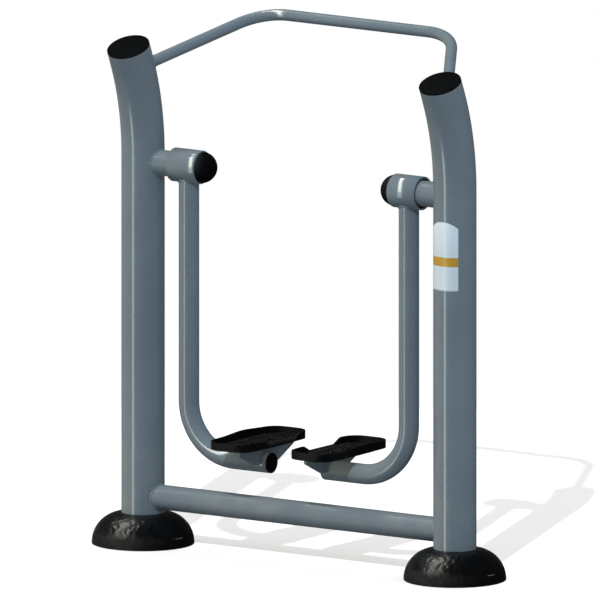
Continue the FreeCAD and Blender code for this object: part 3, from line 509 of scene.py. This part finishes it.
def new_piece(name, body, material, build):
    """A mesh piece that build fills, riding on a body."""
    mesh = bpy.data.meshes.new(name)
    piece = bpy.data.objects.new(name, mesh)
    bpy.context.scene.collection.objects.link(piece)
    shape = bmesh.new()
    build(shape)
    bmesh.ops.recalc_face_normals(shape, faces=shape.faces)
    shape.to_mesh(mesh)
    shape.free()
    mesh.materials.append(material)
    for polygon in mesh.polygons:
        polygon.use_smooth = True
    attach(piece, body)
    return piece


def ring_tube(shape, centres, radii, closed, sides=10):
    """A round tube along centres, with a radius for each."""
    count = len(centres)
    rings = []
    for index, centre in enumerate(centres):
        before = centres[index - 1] if index or closed else centre
        after = centres[(index + 1) % count] if index < count - 1 or closed else centre
        run = (after - before).normalized()
        side = run.orthogonal() if index == 0 else (side - run * side.dot(run)).normalized()
        side.normalize()
        up = run.cross(side)
        spokes = [math.cos(turn) * side + math.sin(turn) * up for turn in around(sides)]
        rings.append([shape.verts.new(centre + radii[index] * spoke) for spoke in spokes])
    pairs = list(zip(rings, rings[1:]))
    if closed:
        last, first = rings[-1], rings[0]
        shift = min(range(sides), key=lambda k: (last[0].co - first[k].co).length)
        pairs.append((last, first[shift:] + first[:shift]))
    else:
        shape.faces.new(rings[0])
        shape.faces.new(rings[-1])
    for low, high in pairs:
        join_rings(shape, low, high)


def join_rings(shape, low, high):
    """A belt of faces between two rings of points."""
    for k, corner in enumerate(low):
        after = (k + 1) % len(low)
        shape.faces.new((corner, low[after], high[after], high[k]))


def weld_bead(name, body, centres, sizes, closed=True):
    """A rippled bead of weld along a seam."""
    chance = random.Random(name)
    length = 0.0
    radii = []
    for index, centre in enumerate(centres):
        length += (centre - centres[index - 1]).length if index else 0.0
        ripple = abs(math.sin(math.pi * length / sizes.weld_pitch))
        radii.append(sizes.weld_radius * (0.86 + 0.16 * ripple + chance.uniform(-0.04, 0.04)))
    paint = bpy.data.materials["powder_coat"]
    new_piece(name, body, paint, lambda shape: ring_tube(shape, centres, radii, closed))


def surface(node):
    """The surface of a CAD node, ready for rays."""
    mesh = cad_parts[node].data
    return BVHTree.FromPolygons(
        [vertex.co for vertex in mesh.vertices], [polygon.vertices for polygon in mesh.polygons]
    )


def seam(node, start, way, radius):
    """Where the side of a round tube, followed from start, meets a CAD node."""
    tree = surface(node)
    side = way.orthogonal().normalized()
    up = way.cross(side)
    points = []
    for turn in around(SEAM_STEPS):
        point, _, _, _ = tree.ray_cast(start + radius * (math.cos(turn) * side + math.sin(turn) * up), way)
        if point is None:
            raise RuntimeError(f"a tube misses {node}")
        points.append(point)
    return points


def around(count):
    """Angles of a full turn."""
    return [2 * math.pi * index / count for index in range(count)]


class WALKER_OT_finishes(bpy.types.Operator):
    """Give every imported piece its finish"""

    bl_idname = "walker.finishes"
    bl_label = "Finishes"

    def execute(self, context):
        colours = context.scene.walker_finish
        paint = powder_coat("powder_coat", tuple(colours.paint))
        assign(cad_nodes(PAINTED_NODES), paint)
        assign(cad_nodes(("hub_sleeve",)), powder_coat("sleeve_coat", tuple(colours.paint), sleeve_crown))
        assign(cad_nodes(("arm_tube",)), powder_coat("arm_coat", tuple(colours.paint), rolled_end))
        assign([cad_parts["crossbar"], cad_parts["handlebar"]], paint)
        cover = moulded_plastic("cover_plastic", tuple(colours.plastic), 68.0, 0.0042, 0.28, 0.34)
        assign(cad_nodes(("base_cover",)), cover)
        cap = moulded_plastic("cap_plastic", tuple(colours.plastic), 26.0, 0.0008, 0.5, 0.15)
        assign(cad_nodes(("hub_cap", "arm_end_cap")), cap)
        top = moulded_plastic("top_plastic", tuple(colours.plastic), 26.0, 0.0008, 0.6, 0.03)
        assign(cad_nodes(("post_cap",)), top)
        assign(cad_nodes(("pedal", "pedal_bolts")), tread_plastic(tuple(colours.tread)))
        assign(cad_nodes(RUBBER_NODES), black_rubber())
        assign(cad_nodes(STEEL_NODES), turned_steel("turned_steel", (0.42, 0.42, 0.43), 0.32, 900.0))
        assign(cad_nodes(POLISHED_NODES), turned_steel("bearing_steel", (0.55, 0.55, 0.56), 0.16, 1500.0))
        assign(cad_nodes(ZINC_NODES), zinc_plate())
        assign(cad_nodes(GALVANISED_NODES), galvanised())
        plate = notice_finish(tuple(colours.plate), tuple(colours.band))
        assign([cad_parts["notice_plate"]], plate)
        return {"FINISHED"}


class WALKER_OT_welds(bpy.types.Operator):
    """Lay the weld beads where the tubes meet"""

    bl_idname = "walker.welds"
    bl_label = "Welds"

    def execute(self, context):
        sizes = context.scene.walker_sizes
        for side, sign in SIDES.items():
            self.post_seams(side, sign, sizes)
            self.arm_seams(side, sign, sizes)
        return {"FINISHED"}

    @staticmethod
    def post_seams(side, sign, sizes):
        """The floor bar, the pivot stub and the handle bar on one post."""
        outwards = Vector((sign, 0, 0))
        low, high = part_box("crossbar")
        start = Vector((0, 0, (low.z + high.z) / 2))
        bar = seam(f"{side}_post", start, outwards, (high.z - low.z) / 2)
        weld_bead(f"{side}_crossbar_weld", "frame", bar, sizes)
        low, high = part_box(f"{side}_pivot_stub")
        start = Vector(((low.x + high.x) / 2, 0, (low.z + high.z) / 2))
        stub = seam(f"{side}_post", start, outwards, (high.z - low.z) / 2)
        weld_bead(f"{side}_stub_weld", "frame", stub, sizes)
        leg = Vector((sign * HANDLE_LEG[0], HANDLE_LEG[1], HANDLE_LEG[2])).normalized()
        root = Vector((sign * HANDLE_ROOT[0], HANDLE_ROOT[1], HANDLE_ROOT[2]))
        bar = seam(f"{side}_post", root - leg * 0.2, leg, HANDLE_RADIUS)
        weld_bead(f"{side}_handlebar_weld", "frame", bar, sizes)

    @staticmethod
    def arm_seams(side, sign, sizes):
        """The arm on its sleeve, and the bracket on the arm."""
        body = f"{side}_arm"
        low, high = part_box(f"{side}_arm_tube")
        outer = max((low.x, high.x), key=abs)
        radius = high.y
        start = Vector((outer - sign * radius, 0, (low.z + high.z) / 2))
        top = seam(f"{side}_hub_sleeve", start, Vector((0, 0, 1)), radius)
        weld_bead(f"{side}_arm_weld", body, top, sizes)
        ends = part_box(f"{side}_pedal_bracket")
        inner = min((end.x for end in ends), key=abs)
        turns = range(-BRACKET_WELD_TURN, BRACKET_WELD_TURN + 1, 2)
        for label, x in (("inner", inner), ("outer", inner + sign * BRACKET_WEB)):
            arc = [
                Vector((x, radius * math.sin(turn), low.z + radius + radius * math.cos(turn)))
                for turn in map(math.radians, turns)
            ]
            weld_bead(f"{side}_bracket_weld_{label}", body, arc, sizes, closed=False)


class WALKER_OT_covers(bpy.types.Operator):
    """Add the finger lip low on each base cover, in pale plastic that paints a highlight along it"""

    bl_idname = "walker.covers"
    bl_label = "Cover lips"

    def execute(self, context):
        colour = tuple(context.scene.walker_finish.lip)
        # Pale plastic for the lips: their bright line is a painted highlight.
        paler = moulded_plastic("lip_highlight_plastic", colour, 26.0, 0.0008, 0.5, 0.3)
        for side in SIDES:
            new_piece(
                f"{side}_cover_lip",
                "frame",
                paler,
                lambda shape: self.lip(shape, f"{side}_base_cover"),
            )
        return {"FINISHED"}

    @staticmethod
    def lip(shape, cover):
        """A raised edge along the cover's side, thin at the end nearest the user."""
        low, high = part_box(cover)
        middle = (low + high) / 2
        middle.z = LIP_HEIGHT
        tree = surface(cover)
        centres, radii = [], []
        for degrees in range(LIP_TURNS[0], LIP_TURNS[1] + 1):
            turn = math.radians(degrees)
            out = Vector((math.cos(turn), math.sin(turn), 0))
            point, _, _, _ = tree.ray_cast(middle + out * (high.x - low.x), -out)
            centres.append(point)
            swell = LIP_THIN_END + (degrees - LIP_TURNS[0]) / LIP_TAPER
            radii.append(LIP_RADIUS * min(1.0, swell))
        ring_tube(shape, centres, radii, closed=False)


class WALKER_OT_trays(bpy.types.Operator):
    """Shape the foot trays with rounded edges and raised treads"""

    bl_idname = "walker.trays"
    bl_label = "Foot trays"

    def execute(self, context):
        sizes = context.scene.walker_sizes
        plastic = bpy.data.materials["tray_plastic"]
        for side in SIDES:
            body = f"{side}_arm"
            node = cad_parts[f"{side}_pedal"]
            tray = new_piece(
                f"{side}_tray", body, plastic, lambda shape: self.tray(shape, node)
            )
            flats = tray.modifiers.new("Flat faces", "WEIGHTED_NORMAL")
            flats.keep_sharp = True
            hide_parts(f"{side}_pedal")
            new_piece(
                f"{side}_treads",
                body,
                plastic,
                lambda shape: self.treads(shape, side, sizes),
            )
        return {"FINISHED"}

    @staticmethod
    def tray(shape, node):
        """The tray of the CAD model, with its sharp edges rounded."""
        shape.from_mesh(node.data)
        bmesh.ops.remove_doubles(shape, verts=shape.verts, dist=0.01 * MM)
        bmesh.ops.dissolve_limit(
            shape, angle_limit=math.radians(1), verts=shape.verts, edges=shape.edges
        )
        low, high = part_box(node.name)
        middle = (low.x + high.x) / 2
        sharp = []
        for edge in shape.edges:
            beside = min(abs(vertex.co.x - middle) for vertex in edge.verts) > TRAY_MIDDLE
            at_end = max(abs(vertex.co.y) for vertex in edge.verts) > TRAY_END
            if edge.is_manifold and edge.calc_face_angle() > TRAY_SHARP and (beside or at_end):
                sharp.append(edge)
        bmesh.ops.bevel(
            shape,
            geom=sharp,
            offset=TRAY_ROUND,
            offset_type="OFFSET",
            segments=3,
            profile=0.5,
            affect="EDGES",
            clamp_overlap=True,
        )

    @staticmethod
    def treads(shape, side, sizes):
        """Rows of raised bars on the tray's floor."""
        low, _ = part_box(f"{side}_pedal")
        bolts_low, bolts_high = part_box(f"{side}_pedal_bolts")
        middle = (bolts_low.x + bolts_high.x) / 2
        clear_x, clear_y = BOLT_CLEAR
        row, last_row = TREAD_SPAN
        while row < last_row:
            bolt_row = any(abs(row - y) < clear_y for y in BOLT_ROWS)
            for column in range(sizes.tread_columns):
                aside = (column - (sizes.tread_columns - 1) / 2) * sizes.tread_pitch
                if not bolt_row or abs(aside) >= clear_x:
                    tread_bar(shape, Vector((middle + aside, row, low.z + TRAY_FLOOR)), sizes)
            row += sizes.tread_row


def tread_bar(shape, centre, sizes):
    """One raised bar with a domed top."""
    length, width = sizes.tread_length / 2, sizes.tread_width / 2
    rings = []
    for level, inset in ((-0.3, 0.0), (0.45, 0.05), (0.8, 0.22), (1.0, 0.55)):
        ring = []
        for turn in around(TREAD_SIDES):
            end = (length - width) * (1 if math.cos(turn) > 0 else -1)
            reach = width * (1 - inset)
            spot = Vector((end + reach * math.cos(turn), reach * math.sin(turn), level * sizes.tread_rise))
            ring.append(shape.verts.new(centre + spot))
        rings.append(ring)
    for low, high in zip(rings, rings[1:]):
        join_rings(shape, low, high)
    shape.faces.new(rings[-1])
    shape.faces.new(rings[0])


def add_sun(name, way, power, width):
    """A distant lamp that shines from a direction, width degrees wide."""
    data = bpy.data.lights.new(name, "SUN")
    data.angle = math.radians(width)
    data.energy = power
    lamp = bpy.data.objects.new(name, data)
    lamp.rotation_euler = way.to_track_quat("Z", "Y").to_euler()
    lamp.location = way * 5.0
    bpy.context.scene.collection.objects.link(lamp)
    return lamp


def seen_by_camera(tree):
    """1 for what the camera sees straight or through something clear."""
    return light_path(tree, "Is Camera Ray") + light_path(tree, "Is Transmission Ray")


def wall_picture(x, y, z):
    """A wide pale wall to the left, brightest at its middle and dim above the horizon."""
    flat = (x * x + y * y + STEEPEST) ** 0.5
    past_edge = (x * WALL_EDGE[0] + y * WALL_EDGE[1]) / flat
    facing = (x * WALL_MIDDLE[0] + y * WALL_MIDDLE[1]) / flat
    wall = past_edge.smooth_step(*WALL_FADE) * (facing * 0.5 + 0.5) ** WALL_FOCUS
    wall = wall * z.smooth_step(*WALL_FOOT) * (1.0 - z.smooth_step(*HORIZON) * WALL_DIM_ABOVE)
    return wall * WALL_STRENGTH


def arch_picture(x, y, z):
    """A narrow bright arch that stands across the left side. The posts' thin lines mirror its
    feet, and the streaks on the hub sleeves its upper part, which is narrower and brighter."""
    rise = z.smooth_step(*HORIZON)
    behind = y.calculated("MAXIMUM", y, 0.0) * ARCH_TURN_BEHIND
    middle = x + y * ARCH_TURN - behind - ARCH_X
    past_edge = abs(middle) - (ARCH_HALF_WIDTH - rise * ARCH_NARROWING)
    arch = 1.0 - past_edge.smooth_step(-ARCH_EDGE, ARCH_EDGE)
    arch = arch * (1.0 - y.smooth_step(*ARCH_END)) * z.smooth_step(*ARCH_FEET)
    return arch * (ARCH_STRENGTH + rise * ARCH_TOP_STRENGTH)


class WALKER_OT_studio(bpy.types.Operator):
    """Set up the floor, the light and the camera"""

    bl_idname = "walker.studio"
    bl_label = "Studio"

    def execute(self, context):
        studio = context.scene.walker_studio
        self.floor()
        self.world(context.scene)
        self.lamps(studio)
        self.camera(context.scene, studio)
        context.scene.view_settings.view_transform = "Standard"
        return {"FINISHED"}

    @staticmethod
    def floor():
        """A round floor. The camera sees it white, with the shadow; other rays see it dimmer."""
        mesh = bpy.data.meshes.new("floor")
        shape = bmesh.new()
        rim = [(FLOOR_RADIUS * math.cos(turn), FLOOR_RADIUS * math.sin(turn), 0) for turn in around(96)]
        shape.faces.new([shape.verts.new(point) for point in rim])
        shape.to_mesh(mesh)
        shape.free()
        floor = bpy.data.objects.new("floor", mesh)
        floor.location.z = -FLOOR_DROP
        bpy.context.scene.collection.objects.link(floor)
        floor.visible_glossy = False
        material = bpy.data.materials.new("floor")
        material.use_nodes = True
        tree = material.node_tree
        tree.nodes.clear()
        seen = seen_by_camera(tree)
        dim = make_node(tree, "ShaderNodeBsdfDiffuse", None, {"Color": FLOOR_UNSEEN})
        paper = make_node(tree, "ShaderNodeBsdfDiffuse", None, {"Color": FLOOR_SEEN})
        base = make_node(tree, "ShaderNodeMixShader", None, {0: seen, 1: dim, 2: paper})
        output = tree.nodes.new("ShaderNodeOutputMaterial")
        tree.links.new(base.socket, output.inputs["Surface"])
        mesh.materials.append(material)

    @staticmethod
    def world(scene):
        """White for the camera, even light for the surfaces, and a picture for the reflections."""
        world = bpy.data.worlds.new("studio")
        scene.world = world
        world.use_nodes = True
        tree = world.node_tree
        tree.nodes.clear()
        direction = make_node(tree, "ShaderNodeTexCoord", output="Generated")
        x, y, z = (make_node(tree, "ShaderNodeSeparateXYZ", None, {0: direction}, output=k) for k in "XYZ")
        seen = seen_by_camera(tree)
        mirrored = light_path(tree, "Is Glossy Ray")
        picture = ROOM_STRENGTH + wall_picture(x, y, z) + arch_picture(x, y, z)
        ground = (1.0 - z.smooth_step(*GROUND)) * GROUND_STRENGTH
        even = EVEN_STRENGTH + y * EVEN_BEHIND + z * EVEN_ABOVE + ground
        strength = seen + mirrored * picture + (1.0 - seen - mirrored) * even
        colour = blend(tree, mirrored, (1, 1, 1), REFLECTION_TINT)
        tint = make_node(tree, "ShaderNodeBackground", None, {"Color": colour, "Strength": strength})
        output = tree.nodes.new("ShaderNodeOutputWorld")
        tree.links.new(tint.socket, output.inputs["Surface"])

    @staticmethod
    def lamps(studio):
        """A lamp near the camera, whose shadow falls away behind the object, and a warm one to the left."""
        key = add_sun("key_lamp", Vector(KEY_WAY), studio.lamp_power, 0.6)
        key.visible_glossy = False
        side = add_sun("side_lamp", Vector(SIDE_WAY), studio.side_power, 14)
        side.data.color = SIDE_COLOUR
        side.data.use_shadow = False
        side.visible_glossy = False

    @staticmethod
    def camera(scene, studio):
        """A camera without perspective at the photograph's angle."""
        data = bpy.data.cameras.new("camera")
        data.type = "ORTHO"
        data.ortho_scale = studio.picture_width
        data.clip_end = 100
        camera = bpy.data.objects.new("camera", data)
        flat = math.cos(studio.elevation)
        across, along = math.sin(studio.azimuth) * flat, -math.cos(studio.azimuth) * flat
        way = Vector((across, along, math.sin(studio.elevation)))
        camera.location = Vector(CAMERA_AIM) + way * CAMERA_DISTANCE
        camera.rotation_euler = way.to_track_quat("Z", "Y").to_euler()
        scene.collection.objects.link(camera)
        scene.camera = camera


OPERATORS = (
    WALKER_OT_finishes,
    WALKER_OT_welds,
    WALKER_OT_covers,
    WALKER_OT_trays,
    WALKER_OT_studio,
)
GROUPS = {"walker_finish": WalkerFinish, "walker_sizes": WalkerSizes, "walker_studio": WalkerStudio}


class WALKER_PT_panel(bpy.types.Panel):
    """The steps, in the order in which they are run"""

    bl_idname = "WALKER_PT_panel"
    bl_label = "Air walker"
    bl_space_type = "VIEW_3D"
    bl_region_type = "UI"
    bl_category = "Walker"

    def draw(self, context):
        for step in OPERATORS:
            self.layout.operator(step.bl_idname)


def register():
    for group in GROUPS.values():
        bpy.utils.register_class(group)
    for name, group in GROUPS.items():
        setattr(bpy.types.Scene, name, PointerProperty(type=group))
    for step in (*OPERATORS, WALKER_PT_panel):
        bpy.utils.register_class(step)


def unregister():
    for step in (WALKER_PT_panel, *reversed(OPERATORS)):
        bpy.utils.unregister_class(step)
    for name in GROUPS:
        delattr(bpy.types.Scene, name)
    for group in GROUPS.values():
        bpy.utils.unregister_class(group)


def main():
    register()
    bpy.ops.walker.finishes()
    bpy.ops.walker.welds()
    bpy.ops.walker.covers()
    bpy.ops.walker.trays()
    bpy.ops.walker.studio()


if __name__ == "__main__":
    main()
